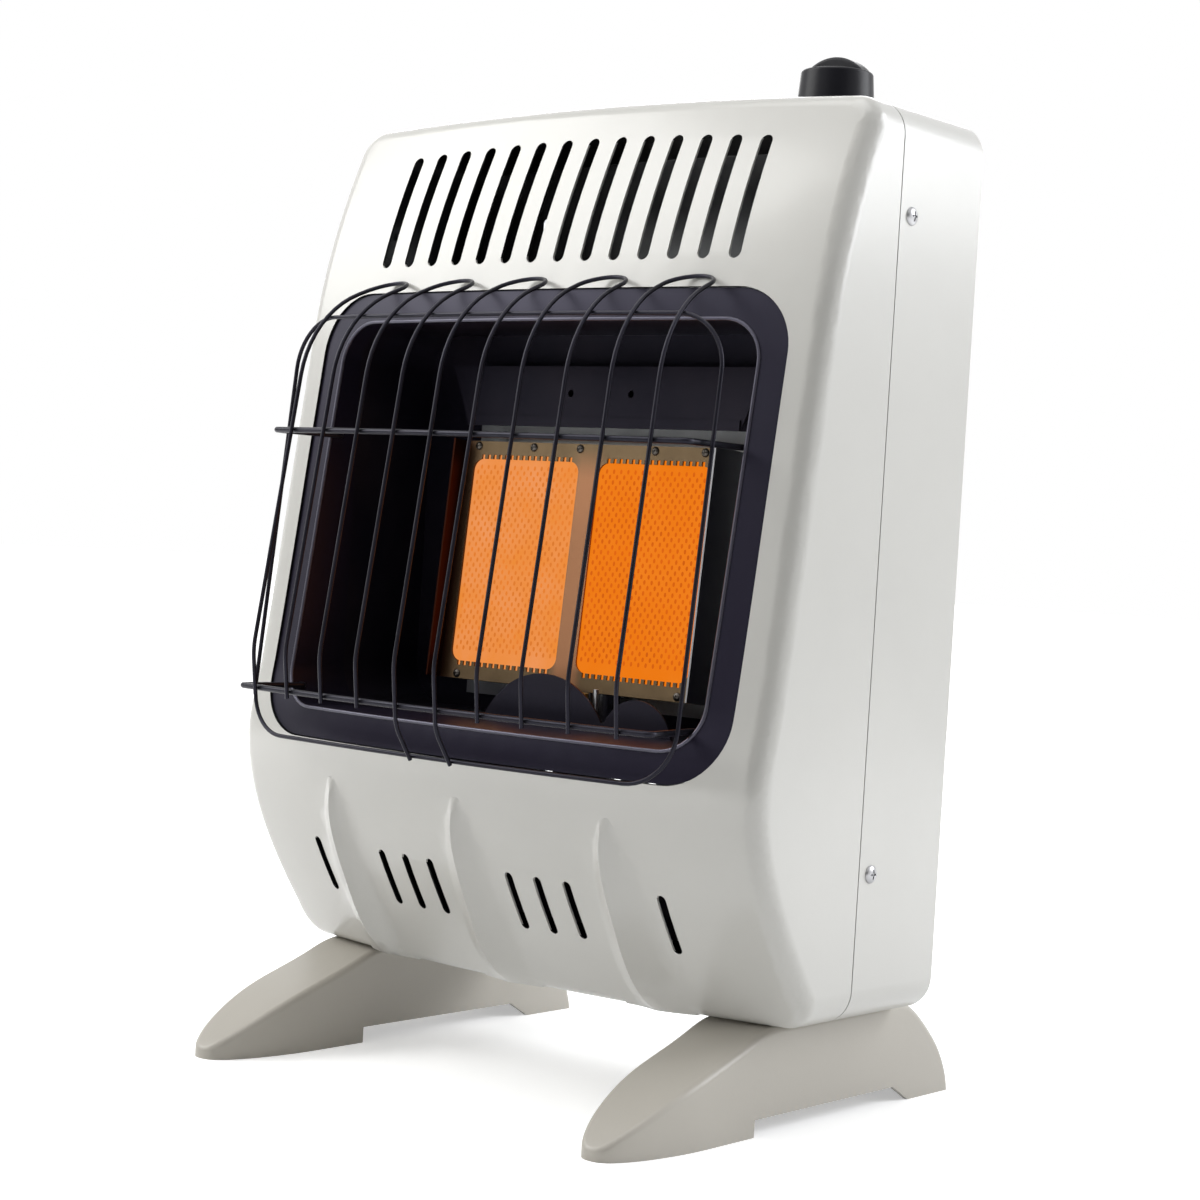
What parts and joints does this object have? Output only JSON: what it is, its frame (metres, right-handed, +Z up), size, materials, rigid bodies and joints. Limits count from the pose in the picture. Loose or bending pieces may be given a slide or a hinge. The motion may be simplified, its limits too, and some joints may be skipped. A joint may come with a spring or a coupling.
{
  "type": "portable propane heater",
  "caption": "Vent-free radiant gas heater: bowed steel cabinet on two splayed feet, ceramic plaque burner behind a wire guard, push-and-turn control knob on top.",
  "frame": {"origin": "on the floor under the middle of the overall bounding box", "axes": "+Z up, the heater's front faces -Y, +X to the right of someone facing the front"},
  "size_m": [0.3928, 0.307, 0.5955],
  "materials": {
    "cabinet_cream": "gloss enamel",
    "foot_plastic": "satin",
    "enamel_black": "gloss high temperature enamel",
    "firebox_steel": "satin high temperature enamel",
    "galvanised": "plain sheet",
    "reflector_steel": "satin",
    "burner_steel": "heat-tinted sheet",
    "ceramic_plaque": "matt, perforated",
    "gasket_fibre": "matt fibre",
    "guard_wire": "satin black plating",
    "screw_steel": "bright",
    "brass": "turned",
    "pipe_aluminium": "drawn",
    "cast_zinc": "cast",
    "spring_steel": "bright",
    "spindle_steel": "turned",
    "knob_plastic": "satin",
    "electrode_ceramic": "glazed",
    "lead_silicone": "matt",
    "piezo_plastic": "matt",
    "inlet_steel": "machined"
  },
  "bodies": {
    "cabinet": {"front_cover": "cabinet_cream", "rear_case": "cabinet_cream", "back_panel": "galvanised", "heat_shield": "galvanised", "case_screws": "screw_steel", "back_screws": "screw_steel", "firebox_surround": "enamel_black", "firebox_shell": "firebox_steel", "firebox_stay_left": "galvanised", "firebox_stay_right": "galvanised", "reflector_panel": "reflector_steel", "plaque_left": "ceramic_plaque", "plaque_right": "ceramic_plaque", "plaque_gasket": "gasket_fibre", "burner_frame": "burner_steel", "burner_screws": "screw_steel", "burner_plenum": "galvanised", "burner_baffle": "galvanised", "venturi_tube": "galvanised", "jet_elbow": "brass", "pilot_shield": "firebox_steel", "pilot_bracket": "galvanised", "pilot_burner": "brass", "igniter_electrode": "electrode_ceramic", "valve_body": "cast_zinc", "valve_bracket": "galvanised", "valve_nut": "brass", "return_spring": "spring_steel", "piezo_igniter": "piezo_plastic", "igniter_lead": "lead_silicone", "pilot_pipe": "pipe_aluminium", "thermocouple": "pipe_aluminium", "pressure_regulator": "cast_zinc", "regulator_saddle": "galvanised", "inlet_fitting": "inlet_steel", "supply_pipe": "pipe_aluminium", "burner_pipe": "pipe_aluminium", "guard_wires": "guard_wire", "guard_rods": "guard_wire", "guard_frame": "guard_wire", "foot_left": "foot_plastic", "foot_right": "foot_plastic", "foot_screws": "screw_steel"},
    "plunger": {"thrust_collar": "spindle_steel", "valve_plunger": "spindle_steel"},
    "knob": {"valve_spindle": "spindle_steel", "control_knob": "knob_plastic"}
  },
  "joints": [
    {"name": "knob_push", "type": "slide", "parent": "cabinet", "child": "plunger", "axis": [0, 0, -1], "range_m": [0, 0.0035], "stiffness_N_per_m": 900, "springref_m": -0.004, "deforming": ["return_spring"]},
    {"name": "knob_turn", "type": "hinge", "parent": "plunger", "child": "knob", "pos_m": [0.122, 0.043, 0.57], "axis": [0, 0, 1], "range_deg": [0, 180]}
  ]
}
